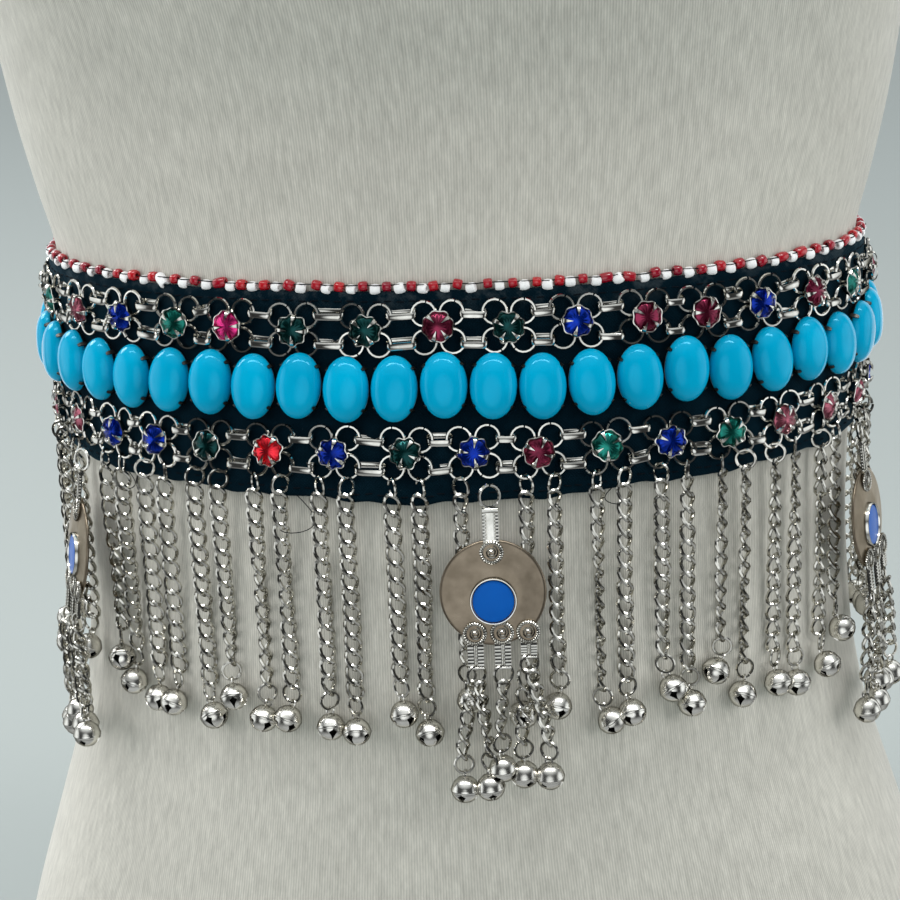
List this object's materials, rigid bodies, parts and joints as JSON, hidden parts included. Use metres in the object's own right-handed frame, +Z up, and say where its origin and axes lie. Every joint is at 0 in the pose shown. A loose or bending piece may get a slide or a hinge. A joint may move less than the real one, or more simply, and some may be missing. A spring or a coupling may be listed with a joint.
{
  "type": "belly dance hip belt on a dress form",
  "caption": "Cloth belt with turquoise cabochons, rosette chains, a fringe of bell chains and swinging coin medallions, worn on a limbless dress form.",
  "frame": {"origin": "on the standing surface, under the middle of the part's box", "axes": "+Z up, -Y towards the front, +X to the right of someone who faces the front"},
  "size_m": [0.32, 0.206, 0.7],
  "materials": {
    "form_jersey": "matt ribbed jersey",
    "band_cotton": "matt dark navy cotton",
    "seed_beads": "red and white glass seed beads",
    "cabochon": "gloss turquoise",
    "nickel": "nickel plate, a little dulled",
    "medallion_metal": "warm grey nickel, satin",
    "blue_disc": "gloss royal blue"
  },
  "bodies": {
    "belt_on_form": {"dress_form": "form_jersey", "belt_band": "band_cotton", "closure_tab": "band_cotton", "bead_edging": "seed_beads", "cabochon_01": "cabochon", "cabochon_02": "cabochon", "cabochon_03": "cabochon", "cabochon_04": "cabochon", "cabochon_05": "cabochon", "cabochon_06": "cabochon", "cabochon_07": "cabochon", "cabochon_08": "cabochon", "cabochon_09": "cabochon", "cabochon_10": "cabochon", "cabochon_11": "cabochon", "cabochon_12": "cabochon", "cabochon_13": "cabochon", "cabochon_14": "cabochon", "cabochon_15": "cabochon", "cabochon_16": "cabochon", "cabochon_17": "cabochon", "cabochon_18": "cabochon", "cabochon_19": "cabochon", "cabochon_20": "cabochon", "cabochon_21": "cabochon", "cabochon_22": "cabochon", "cabochon_23": "cabochon", "cabochon_24": "cabochon", "cabochon_25": "cabochon", "cabochon_26": "cabochon", "cabochon_27": "cabochon", "cabochon_28": "cabochon", "cabochon_29": "cabochon", "cabochon_30": "cabochon", "cabochon_31": "cabochon", "cabochon_32": "cabochon", "cabochon_33": "cabochon", "cabochon_34": "cabochon", "cabochon_35": "cabochon", "cabochon_36": "cabochon", "cabochon_37": "cabochon", "cabochon_38": "cabochon", "cabochon_39": "cabochon", "cabochon_40": "cabochon", "cabochon_41": "cabochon", "cabochon_42": "cabochon", "rosette_chain_upper": "nickel", "rosette_chain_lower": "nickel"},
    "medallion_left": {"medallion_left": "medallion_metal", "medallion_left_stone": "blue_disc"},
    "medallion_centre": {"medallion_centre": "medallion_metal", "medallion_centre_stone": "blue_disc"},
    "medallion_right": {"medallion_right": "medallion_metal", "medallion_right_stone": "blue_disc"}
  },
  "joints": [
    {"name": "medallion_left_swing", "type": "hinge", "parent": "belt_on_form", "child": "medallion_left", "pos_m": [-0.10182, -0.04122, 0.2356], "axis": [-0.3845, 0.9231, 0], "range_deg": [0, 70]},
    {"name": "medallion_centre_swing", "type": "hinge", "parent": "belt_on_form", "child": "medallion_centre", "pos_m": [0.01428, -0.08051, 0.2356], "axis": [-0.9966, -0.083, 0], "range_deg": [0, 70]},
    {"name": "medallion_right_swing", "type": "hinge", "parent": "belt_on_form", "child": "medallion_right", "pos_m": [0.11304, -0.02365, 0.2356], "axis": [-0.3231, -0.9464, 0], "range_deg": [0, 70]}
  ]
}
